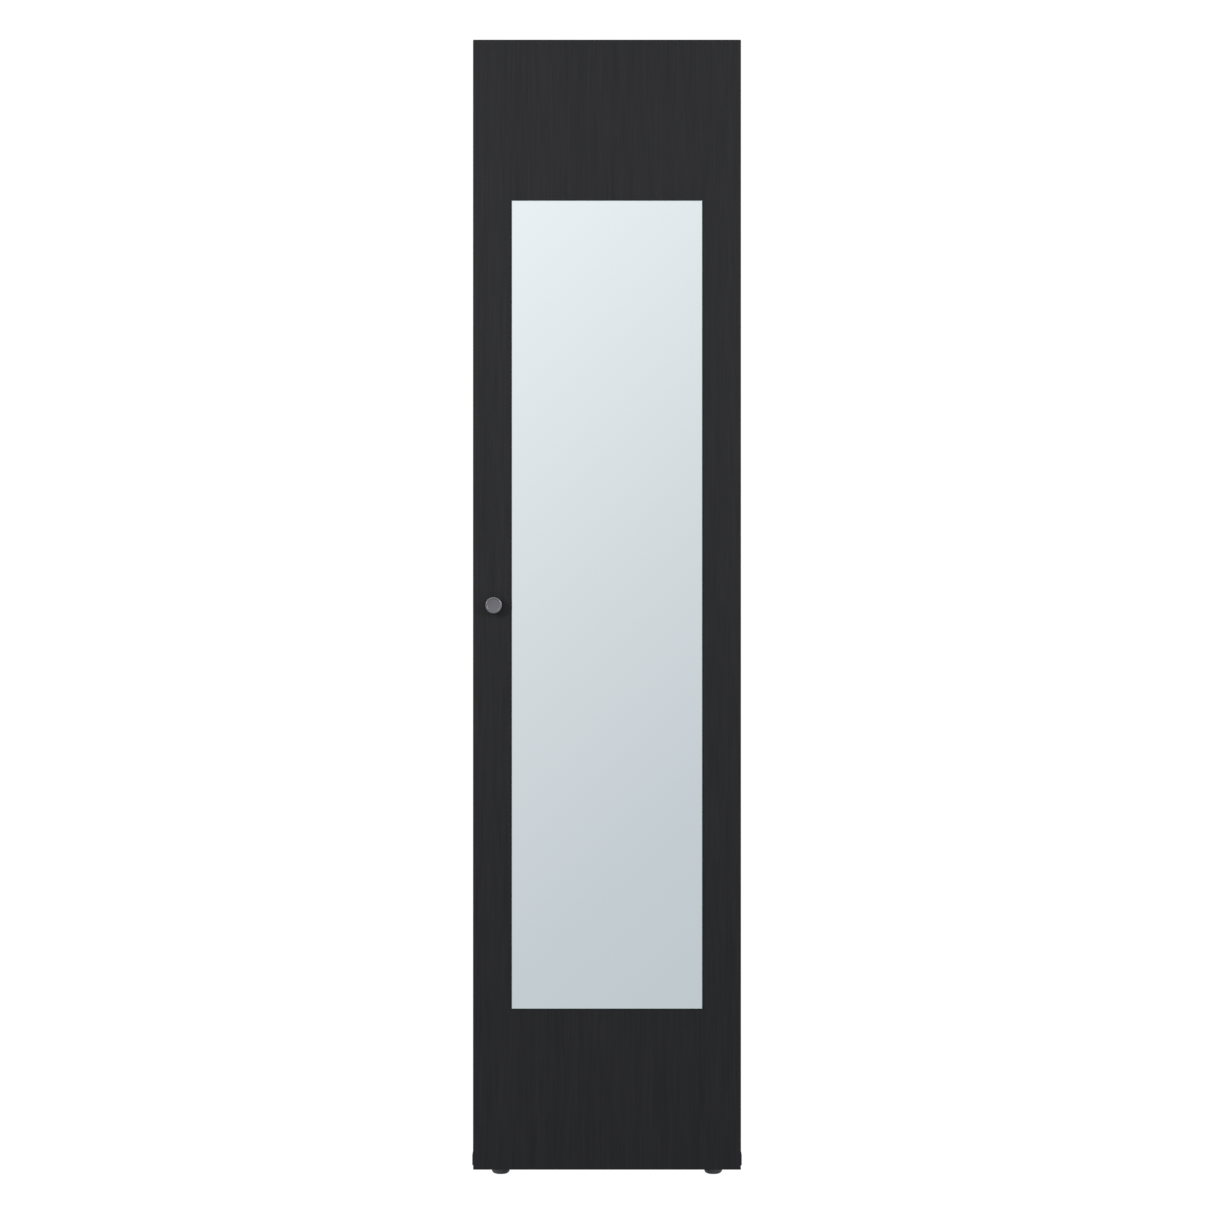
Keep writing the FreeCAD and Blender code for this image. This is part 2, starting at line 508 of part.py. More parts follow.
# ---- hinges ---------------------------------------------------------------------------------------
def hx(u):
    """Row x of a distance u inward from the right side's outer face."""
    return HALF - u


def hy(v):
    """Row y of a distance v back from the carcass's front edges."""
    return FRONT + v


def gooseneck(z):
    """The arm's strip: from its eye inward past the cup's rim, then round a bend and back along the plate."""
    low, high = AXIS_V - ARM_STEEL / 2, AXIS_V + ARM_STEEL / 2
    bend_u, bend_v = CHANNEL_U - ARM_BEND, high + ARM_BEND
    far_u = CHANNEL_U + ARM_STEEL

    def at(u, v):
        return V(hx(u), hy(v), z - ARM_HALF)

    def bend(radius, first, last):
        out = radius * math.sqrt(0.5)
        return Part.Arc(first, at(bend_u + out, bend_v - out), last).toShape()

    eye_high, eye_low = at(AXIS_U, high), at(AXIS_U, low)
    inner_a, inner_b = at(bend_u, high), at(CHANNEL_U, bend_v)
    outer_a, outer_b = at(far_u, bend_v), at(bend_u, low)
    tip_inner, tip_outer = at(CHANNEL_U, CHANNEL_V1), at(far_u, CHANNEL_V1)
    outline = Part.Wire([
        Part.makeLine(eye_high, inner_a),
        bend(ARM_BEND, inner_a, inner_b),
        Part.makeLine(inner_b, tip_inner),
        Part.makeLine(tip_inner, tip_outer),
        Part.makeLine(tip_outer, outer_a),
        bend(ARM_BEND + ARM_STEEL, outer_a, outer_b),
        Part.makeLine(outer_b, eye_low),
        Part.makeLine(eye_low, eye_high),
    ])
    return Part.Face(outline).extrude(V(0, 0, 2 * ARM_HALF))


def hinge_arm(z):
    """A steel arm: an eye on the axis inside the cup, a gooseneck, and a channel over the plate's seat."""
    x, y = hx(AXIS_U), hy(AXIS_V)
    eye = rod(EYE_R, (x, y, z - ARM_HALF), (x, y, z + ARM_HALF))
    outer_u = CHANNEL_U + ARM_STEEL
    web = box(hx(CHANNEL_U), hx(outer_u), hy(CHANNEL_V0), hy(CHANNEL_V1),
              z - CHANNEL_HALF, z + CHANNEL_HALF)
    legs = [box(hx(CHANNEL_LEG_U), hx(CHANNEL_U), hy(CHANNEL_V0), hy(CHANNEL_V1),
                z + s * (CHANNEL_HALF - CHANNEL_LEG), z + s * CHANNEL_HALF) for s in sides()]
    tools = [rod(PIN_R + PIN_PLAY, (x, y, z - CUP_R), (x, y, z + CUP_R))]
    tools += [rod(EURO_SCREW_R + 0.1, (hx(CHANNEL_U - CLEAR), hy(v), z), (hx(outer_u + CLEAR), hy(v), z))
              for v in (CLAMP_V, ADJUST_V)]
    return gooseneck(z).fuse([eye, web] + legs).removeSplitter().cut(tools)


def hinge_plate(z):
    """A plate on the side panel: two wings for its screws, and a raised seat for the arm."""
    wings = box(hx(BOARD), hx(BOARD + WING_T), hy(WING_V - WING_HALF_DEEP), hy(WING_V + WING_HALF_DEEP),
                z - WING_HALF_TALL, z + WING_HALF_TALL)
    seat = box(hx(BOARD), hx(BOARD + SEAT_T), hy(SEAT_V0), hy(SEAT_V1), z - SEAT_HALF, z + SEAT_HALF)
    holes = [(WING_V, -WING_SCREW_DZ), (WING_V, WING_SCREW_DZ), (CLAMP_V, 0)]
    tools = [rod(EURO_SCREW_R, (hx(BOARD - CLEAR), hy(v), z + dz), (hx(BOARD + SEAT_T + CLEAR), hy(v), z + dz))
             for v, dz in holes]
    return eased(wings, 2.0, "X").fuse(seat).removeSplitter().cut(tools)


def hinge_plate_screws():
    return [pan_screw((hx(BOARD + WING_T), hy(WING_V), z + dz), (1, 0, 0), *WING_SCREW)
            for z in HINGE_Z for dz in (-WING_SCREW_DZ, WING_SCREW_DZ)]


def hinge_arm_screws():
    """On each arm, the screw that clamps it to its plate and the one that sets the door sideways."""
    x = hx(CHANNEL_U + ARM_STEEL)
    clamps = [pan_screw((x, hy(CLAMP_V), z), (1, 0, 0), *CLAMP_SCREW) for z in HINGE_Z]
    setters = [pan_screw((x, hy(ADJUST_V), z), (1, 0, 0), *SETTING_SCREW) for z in HINGE_Z]
    return clamps + setters


def hinge_cup(z):
    """A drawn steel cup in the door, with a flange on the door's back and holes for its pin."""
    front, back = DOOR_BACK - CUP_DEPTH + CUP_FIT, DOOR_BACK + CUP_FLANGE
    radius, rim_half, wing_tall = CUP_R - CUP_FIT, CUP_R + CUP_RIM, CUP_SCREW_DZ + CUP_WING_HALF

    def bore(radius, u, dz, start):
        return rod(radius, (hx(u), start, z + dz), (hx(u), back + CLEAR, z + dz))

    body = rod(radius, (hx(CUP_U), front, z), (hx(CUP_U), DOOR_BACK, z))
    flange = box(hx(CUP_U - CUP_R - CUP_OUTER_RIM), hx(CUP_U + rim_half), DOOR_BACK, back,
                 z - rim_half, z + rim_half)
    wings = box(hx(CUP_SCREW_U - CUP_WING_HALF), hx(CUP_SCREW_U + CUP_WING_HALF), DOOR_BACK, back,
                z - wing_tall, z + wing_tall)
    tools = [bore(radius - CUP_WALL, CUP_U, 0, front + CUP_WALL), pin_rod(z)]
    tools += [bore(SMALL_SCREW_R, CUP_SCREW_U, dz, DOOR_BACK - CLEAR) for dz in (-CUP_SCREW_DZ, CUP_SCREW_DZ)]
    rims = [eased(flange, CUP_R / 2, "Y"), eased(wings, CUP_WING_HALF - CLEAR, "Y")]
    return body.fuse(rims).removeSplitter().cut(tools)


def pin_rod(z):
    return rod(PIN_R, (hx(AXIS_U), hy(AXIS_V), z - CUP_R), (hx(AXIS_U), hy(AXIS_V), z + CUP_R))


def hinge_pins():
    """Steel pins across the cups, their ends ground flush with the outside of the cup's wall."""
    return [pin_rod(z).common(rod(CUP_R - CUP_FIT, (hx(CUP_U), DOOR_BACK, z), (hx(CUP_U), DOOR_FACE, z)))
            for z in HINGE_Z]


def hinge_cup_screws():
    x, y = hx(CUP_SCREW_U), DOOR_BACK + CUP_FLANGE
    return [pan_screw((x, y, z + dz), (0, -1, 0), *CUP_SCREW)
            for z in HINGE_Z for dz in (-CUP_SCREW_DZ, CUP_SCREW_DZ)]


# ---- door -----------------------------------------------------------------------------------------
def door_panel():
    board = eased(box(-DOOR_HALF, DOOR_HALF, DOOR_FACE, DOOR_BACK, DOOR_Z0, DOOR_Z1), DOOR_EASE)
    back = DOOR_BACK + CLEAR
    tools = [rod(CUP_R, (hx(CUP_U), back, z), (hx(CUP_U), DOOR_BACK - CUP_DEPTH, z)) for z in HINGE_Z]
    small = [(hx(CUP_SCREW_U), z + dz) for z in HINGE_Z for dz in (-CUP_SCREW_DZ, CUP_SCREW_DZ)]
    small.append((STRIKE_X, CATCH_Z))
    tools += [rod(SMALL_SCREW_R, (x, back, z), (x, DOOR_BACK - CUP_PILOT, z)) for x, z in small]
    tools.append(rod(WOOD_SCREW_R + 0.25, (KNOB_X, DOOR_FACE - CLEAR, KNOB_Z), (KNOB_X, back, KNOB_Z)))
    return board.cut(tools)


def mirror_glass():
    """The mirror stands just proud of the door's face, its front edges ground to a narrow chamfer."""
    back = DOOR_FACE - TAPE_T
    face = back - MIRROR_T
    glass = box(-MIRROR_W / 2, MIRROR_W / 2, face, back, DOOR_MID - MIRROR_H / 2, DOOR_MID + MIRROR_H / 2)
    return glass.makeChamfer(MIRROR_CHAMFER, [e for e in glass.Edges if abs(e.CenterOfMass.y - face) < 0.01])


def mirror_tape():
    """Double-sided foam tape in three upright strips between the door's face and the mirror."""
    reach, wide, tall = MIRROR_W / 2 - TAPE_INSET, TAPE_HALF_WIDE, MIRROR_H / 2 - TAPE_INSET
    return [box(x - wide, x + wide, DOOR_FACE - TAPE_T, DOOR_FACE, DOOR_MID - tall, DOOR_MID + tall)
            for x in (-reach, 0, reach)]


def knob():
    """A turned knob: a foot, a waisted neck, and a flat head with a rounded rim and a shallow dish."""
    foot_r, neck_r, foot_t, rim, dish = 8.8, 6.2, 1.5, 1.6, 0.8
    shoulder = KNOB_REACH - KNOB_HEAD
    waist = arc((foot_r, shoulder), (foot_r - neck_r, shoulder - foot_t), 270, 180)
    back_edge = arc((KNOB_R - 2.5, shoulder + 2.0), (2.5, 2.0), -90, 0)
    front_edge = arc((KNOB_R - rim, KNOB_REACH - rim), (rim, rim), 0, 90)
    face = [(KNOB_R - 3.0, KNOB_REACH - 0.1), (KNOB_R - 4.0, KNOB_REACH - dish + 0.2), (0, KNOB_REACH - dish)]
    profile = [(0, 0), (foot_r, 0)] + waist + back_edge + front_edge + face
    bore = rod(WOOD_SCREW_R, (KNOB_X, DOOR_FACE + CLEAR, KNOB_Z), (KNOB_X, DOOR_FACE - KNOB_THREAD_DEPTH, KNOB_Z))
    return turned(profile, (KNOB_X, DOOR_FACE, KNOB_Z), (0, -1, 0)).cut(bore)


def knob_screw():
    return pan_screw((KNOB_X, DOOR_BACK, KNOB_Z), (0, -1, 0), *KNOB_SCREW)


def door_bumpers():
    """Soft domes on the door's back that meet the left side panel's front edge."""
    radius, base = 5.0, 1.2
    dome = arc((0, base), (radius, DOOR_GAP - base - 0.1), 0, 90)
    profile = [(0, 0), (radius, 0)] + dome
    return [turned(profile, (-(INNER + BOARD / 2), DOOR_BACK, z), (0, 1, 0)) for z in BUMPER_Z]


def strike_plate():
    """A steel plate on the door's back that meets the catch's pole plates, countersunk for its screw."""
    half = MAGNET_HALF + 3.0
    plate = box(STRIKE_X - 6, STRIKE_X + 6, DOOR_BACK, DOOR_BACK + STRIKE_T, CATCH_Z - half, CATCH_Z + half)
    sink = Part.makeCone(SMALL_SCREW_R, STRIKE_HEAD_R, STRIKE_T, V(STRIKE_X, DOOR_BACK, CATCH_Z), V(0, 1, 0))
    return eased(plate, 2.0, "Y").cut(sink)


def strike_screw():
    length, tip = 12.0, 1.2
    profile = [(0, 0), (tip, tip), (SMALL_SCREW_R, tip), (SMALL_SCREW_R, length),
               (STRIKE_HEAD_R, length + STRIKE_T), (0, length + STRIKE_T)]
    return turned(profile, (STRIKE_X, DOOR_BACK - length, CATCH_Z), (0, 1, 0))


# ---- magnetic catch -------------------------------------------------------------------------------
def catch_body():
    """A plastic housing on the left side panel, hollowed for its magnet, with an ear above and below."""
    wall, ear_face, half, ear_half, play = -INNER, -INNER + CATCH_EAR, 21.0, 35.0, 0.1
    body = box(wall, wall + 13, FRONT + 0.2, FRONT + 16, CATCH_Z - half, CATCH_Z + half)
    ears = box(wall, ear_face, CATCH_SCREW_Y - 5, CATCH_SCREW_Y + 5, CATCH_Z - ear_half, CATCH_Z + ear_half)
    far_pole, tall = MAGNET_X + 2 * POLE_T + MAGNET_T, MAGNET_HALF + play
    tools = [box(MAGNET_X - play, far_pole + play, FRONT - CLEAR, FRONT + POLE_LONG + play,
                 CATCH_Z - tall, CATCH_Z + tall)]
    tools += [rod(SMALL_SCREW_R + SCREW_PLAY, (wall - CLEAR, y, z), (ear_face + CLEAR, y, z))
              for y, z in catch_screw_spots()]
    return eased(body, 1.5, "X").fuse(eased(ears, 2.0, "X")).removeSplitter().cut(tools)


def catch_magnet():
    x0 = MAGNET_X + POLE_T
    half = MAGNET_HALF
    return box(x0, x0 + MAGNET_T, FRONT - 0.6, FRONT + POLE_LONG - 0.5, CATCH_Z - half, CATCH_Z + half)


def catch_pole_plates():
    """Steel plates on both sides of the magnet that stand out to the strike plate."""
    half, front = MAGNET_HALF, DOOR_BACK + STRIKE_T + 0.2
    return [box(x, x + POLE_T, front, FRONT + POLE_LONG, CATCH_Z - half, CATCH_Z + half)
            for x in (MAGNET_X, MAGNET_X + POLE_T + MAGNET_T)]


def catch_screws():
    return [pan_screw((-INNER + CATCH_EAR, y, z), (-1, 0, 0), *CATCH_SCREW)
            for y, z in catch_screw_spots()]


# ---- wall fitting ---------------------------------------------------------------------------------
def wall_bracket():
    """A folded steel angle under the top board, with a hole for the screw that goes into the wall."""
    front_y, under = BRACKET_REAR - BRACKET_T, TOP_UNDER - BRACKET_T
    flat = box(-BRACKET_HALF, BRACKET_HALF, BRACKET_REAR - BRACKET_LEG, BRACKET_REAR, under, TOP_UNDER)
    upright = box(-BRACKET_HALF, BRACKET_HALF, front_y, BRACKET_REAR, TOP_UNDER - BRACKET_DROP, TOP_UNDER)
    outer = eased(flat, 4.0, "Z").fuse(eased(upright, 4.0, "Y"))
    fold = [box(-BRACKET_HALF, BRACKET_HALF, front_y, BRACKET_REAR, TOP_UNDER - 3 * BRACKET_T, TOP_UNDER),
            box(-BRACKET_HALF, BRACKET_HALF, BRACKET_REAR - 3 * BRACKET_T, BRACKET_REAR, under, TOP_UNDER)]
    low, high = under - CLEAR, TOP_UNDER + CLEAR
    tools = [rod(WOOD_SCREW_R + SCREW_PLAY, (x, BRACKET_SCREW_Y, low), (x, BRACKET_SCREW_Y, high))
             for x in (-BRACKET_SCREW_X, BRACKET_SCREW_X)]
    tools.append(rod(WALL_SCREW_R, (0, front_y - CLEAR, WALL_SCREW_Z), (0, BRACKET_REAR + CLEAR, WALL_SCREW_Z)))
    return outer.fuse(fold).removeSplitter().cut(tools)


def wall_bracket_screws():
    y, under = BRACKET_SCREW_Y, TOP_UNDER - BRACKET_T
    return [pan_screw((x, y, under), (0, 0, 1), *BRACKET_SCREW)
            for x in (-BRACKET_SCREW_X, BRACKET_SCREW_X)]


# ---- all nodes ------------------------------------------------------------------------------------
def save_carcass():
    save("side_panel_left", side_panel(-1))
    save("side_panel_right", side_panel(1))
    save("top_panel", top_panel())
    save("bottom_panel", bottom_panel())
    save("hat_shelf", hat_shelf())
    save("lower_shelf", lower_shelf())
    lower, upper = back_panels()
    save("back_panel_lower", lower)
    save("back_panel_upper", upper)
    save("back_joint_strip", back_joint_strip())
    save("back_wedges", *back_wedges())
    save("cam_locks", *cam_locks())
    save("cam_dowels", *cam_dowels())
    save("cam_covers", *cam_covers())
    save("wood_dowels", *wood_dowels())
    save("shelf_pins", *shelf_pins())
    save("clothes_rail", clothes_rail())
    save("rail_socket_left", rail_socket(-1, open_top=False))
    save("rail_socket_right", rail_socket(1, open_top=True))
    save("rail_socket_screws", *rail_socket_screws())
    save("wall_bracket", wall_bracket())
    save("wall_bracket_screws", *wall_bracket_screws())


def save_feet():
    for name, side, end in corners():
        save(f"foot_pad_{name}", foot_pad(side * FOOT_X, FOOT_Y[end]))
        save(f"foot_stem_{name}", foot_stem(side * FOOT_X, FOOT_Y[end]))
        save(f"corner_shoe_{name}", corner_shoe(side, end))
    save("foot_bushes", *foot_bushes())
    save("foot_access_caps", *foot_access_caps())


def save_hinges_and_catch():
    save("hinge_arms", *[hinge_arm(z) for z in HINGE_Z])
    save("hinge_plates", *[hinge_plate(z) for z in HINGE_Z])
    save("hinge_cups", *[hinge_cup(z) for z in HINGE_Z])
    save("hinge_pins", *hinge_pins())
    save("hinge_plate_screws", *hinge_plate_screws())
    save("hinge_arm_screws", *hinge_arm_screws())
    save("hinge_cup_screws", *hinge_cup_screws())
    save("catch_body", catch_body())
    save("catch_magnet", catch_magnet())
    save("catch_pole_plates", *catch_pole_plates())
    save("catch_screws", *catch_screws())
    save("strike_plate", strike_plate())
    save("strike_screw", strike_screw())


def save_door():
    save("door_panel", door_panel())
    save("mirror_glass", mirror_glass())
    save("mirror_tape", *mirror_tape())
    save("knob", knob())
    save("knob_screw", knob_screw())
    save("door_bumpers", *door_bumpers())


def main():
    os.makedirs("parts", exist_ok=True)
    save_carcass()
    save_feet()
    save_hinges_and_catch()
    save_door()


main()
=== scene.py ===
"""Looks of the tall wardrobe with one hinged mirror door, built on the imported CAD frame.

Every shape comes from the frame, so this script gives each node its material and sets up a pale studio. All
materials are procedural and read object coordinates, which are the row frame in metres, so they move with
the door. Lengths are in metres, colours are linear, and noise is given in features per metre.
"""

import math

import bpy
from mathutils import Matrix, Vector


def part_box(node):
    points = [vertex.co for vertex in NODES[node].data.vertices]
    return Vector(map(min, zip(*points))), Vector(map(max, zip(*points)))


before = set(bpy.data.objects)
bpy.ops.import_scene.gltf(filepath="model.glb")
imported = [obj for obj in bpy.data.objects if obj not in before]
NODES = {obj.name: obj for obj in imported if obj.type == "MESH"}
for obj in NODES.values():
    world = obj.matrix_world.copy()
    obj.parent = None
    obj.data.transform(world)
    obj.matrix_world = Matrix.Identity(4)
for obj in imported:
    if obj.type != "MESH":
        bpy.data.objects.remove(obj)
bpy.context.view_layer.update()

MM = 0.001
CORNERS = ("front_left", "front_right", "rear_left", "rear_right")
NOISE_LOW, NOISE_HIGH = 0.3, 0.7        # the range that noise mostly keeps to

# ---- colours --------------------------------------------------------------------------------------
ANTHRACITE = (0.0038, 0.0034, 0.0046, 1)
ANTHRACITE_PALE = (0.0106, 0.0098, 0.0114, 1)
ANTHRACITE_BAND = (0.0040, 0.0038, 0.0046, 1)
WORN_FOIL = (0.030, 0.029, 0.028, 1)
CHIP_PALE = (0.56, 0.42, 0.27, 1)
CHIP_DARK = (0.30, 0.19, 0.10, 1)
HARDBOARD_PALE = (0.30, 0.19, 0.105, 1)
HARDBOARD_DARK = (0.19, 0.115, 0.06, 1)
BEECH_PALE = (0.62, 0.43, 0.26, 1)
BEECH_DARK = (0.48, 0.31, 0.17, 1)
DARK_PLASTIC = (0.020, 0.020, 0.021, 1)
DARK_PLASTIC_PALE = (0.029, 0.029, 0.031, 1)
PAD_PLASTIC = (0.170, 0.169, 0.172, 1)
PAD_PLASTIC_PALE = (0.215, 0.214, 0.217, 1)
GREY_PLASTIC = (0.13, 0.13, 0.135, 1)
GREY_PLASTIC_PALE = (0.16, 0.16, 0.165, 1)
ZINC = (0.60, 0.61, 0.63, 1)
ZINC_DULL = (0.42, 0.43, 0.44, 1)
NICKEL = (0.66, 0.64, 0.60, 1)
NICKEL_DULL = (0.50, 0.48, 0.45, 1)
CHROME = (0.80, 0.81, 0.83, 1)
CHROME_DULL = (0.66, 0.67, 0.69, 1)
SPANGLE = (0.66, 0.68, 0.69, 1)
SPANGLE_DULL = (0.48, 0.50, 0.51, 1)
KNOB_GREY = (0.134, 0.127, 0.141, 1)
KNOB_GREY_PALE = (0.207, 0.200, 0.214, 1)
SILVER = (0.905, 0.925, 0.935, 1)
GROUND_GLASS = (0.55, 0.62, 0.61, 1)
GLASS_GREEN = (0.16, 0.30, 0.26, 1)
MIRROR_BACKING = (0.20, 0.21, 0.21, 1)
FOAM = (0.80, 0.80, 0.77, 1)
FOAM_DULL = (0.62, 0.62, 0.59, 1)
SILICONE = (0.82, 0.84, 0.85, 1)
FERRITE = (0.045, 0.045, 0.050, 1)
FERRITE_PALE = (0.075, 0.074, 0.078, 1)


# ---- node building --------------------------------------------------------------------------------
class Tree:
    """A node tree, with short ways to add the nodes it needs."""

    def __init__(self, tree):
        self.nodes, self.links = tree.nodes, tree.links

    def node(self, kind, inputs=None, **settings):
        """Adds a node, sets its settings, and feeds its inputs with sockets or values."""
        made = self.nodes.new(kind)
        for key, value in settings.items():
            setattr(made, key, value)
        for key, value in (inputs or {}).items():
            self.feed(made.inputs[key], value)
        return made

    def feed(self, socket, value):
        if isinstance(value, bpy.types.NodeSocket):
            self.links.new(value, socket)
        else:
            socket.default_value = value

    def math(self, operation, *values):
        return self.node("ShaderNodeMath", dict(enumerate(values)), operation=operation).outputs[0]

    def vector(self, operation, *values):
        return self.node("ShaderNodeVectorMath", dict(enumerate(values)), operation=operation).outputs[0]

    def parts(self, vector):
        return self.node("ShaderNodeSeparateXYZ", {0: vector}).outputs

    def ramp(self, value, reach):
        """A colour ramp that value runs through as it goes from -reach to reach."""
        spread = self.node("ShaderNodeMapRange", {"Value": value, "From Min": -reach, "From Max": reach})
        return self.node("ShaderNodeValToRGB", {"Fac": spread.outputs["Result"]})

    def split_by_ray(self, out, lit, seen):
        """Shows the second shader to camera rays and the first to all others."""
        is_camera = self.node("ShaderNodeLightPath").outputs["Is Camera Ray"]
        choice = self.node("ShaderNodeMixShader", {"Fac": is_camera, 1: lit, 2: seen})
        self.feed(self.nodes[out].inputs["Surface"], choice.outputs[0])


class Surface(Tree):
    """One procedural material."""

    def __init__(self, name):
        self.material = bpy.data.materials.new(name)
        self.material.use_nodes = True
        super().__init__(self.material.node_tree)
        self.shader = self.nodes["Principled BSDF"]
        coordinates = self.node("ShaderNodeTexCoord")
        self.place = coordinates.outputs["Object"]
        self.facing = coordinates.outputs["Normal"]

    def scaled(self, per_metre):
        """The place, stretched by one number or by one for each axis."""
        scale = per_metre if isinstance(per_metre, tuple) else (per_metre,) * 3
        return self.vector("MULTIPLY", self.place, scale)

    def noise(self, per_metre, detail=3.0, rough=0.55, twist=0.0):
        inputs = {"Scale": 1.0, "Detail": detail, "Roughness": rough, "Distortion": twist}
        return self.node("ShaderNodeTexNoise", {"Vector": self.scaled(per_metre), **inputs}).outputs["Fac"]

    def cells(self, per_metre):
        """Cell noise: the Distance to a cell's point, and the cell's own random Color."""
        return self.node("ShaderNodeTexVoronoi", {"Vector": self.scaled(per_metre), "Scale": 1.0}).outputs

    def red(self, colour):
        return self.node("ShaderNodeSeparateColor", {0: colour}).outputs[0]

    def step(self, value, low, high, start=0.0, end=1.0):
        """Rises smoothly from start to end as value goes from low to high."""
        inputs = {"Value": value, "From Min": low, "From Max": high, "To Min": start, "To Max": end}
        return self.node("ShaderNodeMapRange", inputs, interpolation_type="SMOOTHSTEP").outputs["Result"]

    def vary(self, noise, start, end):
        """Goes smoothly from start to end over the range that noise mostly keeps to."""
        return self.step(noise, NOISE_LOW, NOISE_HIGH, start, end)

    def blend(self, amount, first, second):
        """A colour that goes from first to second as amount goes from 0 to 1."""
        return self.node("ShaderNodeMix", {0: amount, 6: first, 7: second}, data_type="RGBA").outputs[2]

    def mix(self, amount, first, second):
        """The same for a number."""
        return self.node("ShaderNodeMix", {0: amount, 2: first, 3: second}, data_type="FLOAT").outputs[0]

    def relief(self, *layers):
        """Stacks bumps, each a (height, depth in metres) pair, and gives the last one's normal."""
        normal = {}
        for height, depth in layers:
            inputs = {"Height": height, "Distance": depth, "Strength": 1.0, **normal}
            normal = {"Normal": self.node("ShaderNodeBump", inputs).outputs["Normal"]}
        return normal["Normal"]

    def finish(self, **inputs):
        """Feeds the shader's sockets, named with _ for a space, and gives the material."""
        for key, value in inputs.items():
            self.feed(self.shader.inputs[key.replace("_", " ").title().replace("Ior", "IOR")], value)
        return self.material


def dress(names, material):
    """Puts one material on CAD nodes."""
    for name in names:
        slots = NODES[name].data.materials
        slots.clear()
        slots.append(material)


# ---- boards ---------------------------------------------------------------------------------------
GRAIN_ALONG = {"X": (12, 1300, 1300), "Z": (1300, 1300, 12)}
STREAK_ALONG = {"X": (9, 420, 420), "Z": (420, 420, 9)}
FIGURE_ALONG = {"X": (1.4, 90, 90), "Z": (90, 90, 1.4)}
GRAIN_SHARE, STREAK_SHARE, FIGURE_SHARE = 0.25, 0.5, 0.25
GRAIN_RELIEF, STREAK_RELIEF, PORE_RELIEF = 0.018 * MM, 0.036 * MM, 0.25 * MM
BAND_SEAM, BAND_SOFTNESS = 1.0 * MM, 0.15 * MM
CUT_DEPTH, CUT_SOFTNESS = 1.1 * MM, 0.3 * MM
WEAR_REACH, WEAR_MOST = 1.3 * MM, 0.35
FOIL_ROUGH, FOIL_ROUGH_STREAKS, FOIL_ROUGH_HAZE = 0.32, 0.16, 0.10
FOIL_SPECULAR, PRINT_SPECULAR = 0.23, 0.30
BARE_ROUGH, FIBRE_ROUGH, PRINT_ROUGH = 0.88, 0.78, 0.48
REAR_FACING = (0.80, 0.95)              # y of the normal where a board's raw rear edge sets in
PRINT_FACING = (-0.5, -0.9)             # the same for the printed side of the hardboard


def depths_in_box(s, node):
    """(depth below the box's nearest face, distance to the nearest edge) of a point on a board."""
    low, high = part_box(node)
    offset = s.vector("SUBTRACT", s.place, tuple((low + high) / 2))
    inside = s.vector("SUBTRACT", tuple((high - low) / 2), s.vector("ABSOLUTE", offset))
    a, b, c = s.parts(inside)
    smaller, larger = s.math("MINIMUM", a, b), s.math("MAXIMUM", a, b)
    nearest = s.math("MINIMUM", smaller, c)
    middle = s.math("MAXIMUM", smaller, s.math("MINIMUM", larger, c))
    return nearest, middle


def chipboard(s):
    """Colour and height of bare particle board: pale and dark flakes with small gaps between them."""
    flakes = s.cells(420)
    fine = s.noise(1500, detail=2)
    colour = s.blend(s.math("MULTIPLY", s.red(flakes["Color"]), fine), CHIP_PALE, CHIP_DARK)
    return colour, s.math("SUBTRACT", fine, flakes["Distance"])


def board(node, along, raw_rear=False):
    """Particle board in anthracite foil: fine grain, banded edges with worn corners, bare where it is cut."""
    s = Surface(f"foil_{node}")
    depth, edge = depths_in_box(s, node)
    grain = s.noise(GRAIN_ALONG[along], rough=0.6)
    streaks = s.noise(STREAK_ALONG[along], detail=2, rough=0.5)
    figure = s.noise(FIGURE_ALONG[along], detail=4, twist=0.4)
    broad = s.math("MULTIPLY_ADD", streaks, STREAK_SHARE, s.math("MULTIPLY", figure, FIGURE_SHARE))
    tone = s.math("MULTIPLY_ADD", grain, GRAIN_SHARE, broad)
    foil = s.blend(s.vary(tone, 0, 1), ANTHRACITE, ANTHRACITE_PALE)
    banded = s.step(edge, BAND_SEAM, BAND_SEAM + BAND_SOFTNESS, 1, 0)
    foil = s.blend(banded, foil, ANTHRACITE_BAND)
    scuffs = s.step(s.noise((240, 240, 60), detail=4, rough=0.7), 0.58, 0.72)
    worn = s.math("MULTIPLY", s.step(edge, 0, WEAR_REACH, WEAR_MOST, 0), scuffs)
    foil = s.blend(worn, foil, WORN_FOIL)
    bare, flakes = chipboard(s)
    cut = s.step(depth, CUT_DEPTH, CUT_DEPTH + CUT_SOFTNESS)
    if raw_rear:
        rear = s.step(s.parts(s.facing)[1], *REAR_FACING)
        cut = s.math("MAXIMUM", cut, rear)
    streaked = s.math("MULTIPLY_ADD", streaks, FOIL_ROUGH_STREAKS, FOIL_ROUGH)
    rough = s.math("MULTIPLY_ADD", s.noise(5), FOIL_ROUGH_HAZE, streaked)
    pores = s.math("MULTIPLY", flakes, cut)
    return s.finish(
        base_color=s.blend(cut, foil, bare),
        roughness=s.mix(cut, rough, BARE_ROUGH),
        specular_ior_level=FOIL_SPECULAR,
        normal=s.relief((grain, GRAIN_RELIEF), (streaks, STREAK_RELIEF), (pores, PORE_RELIEF)),
    )


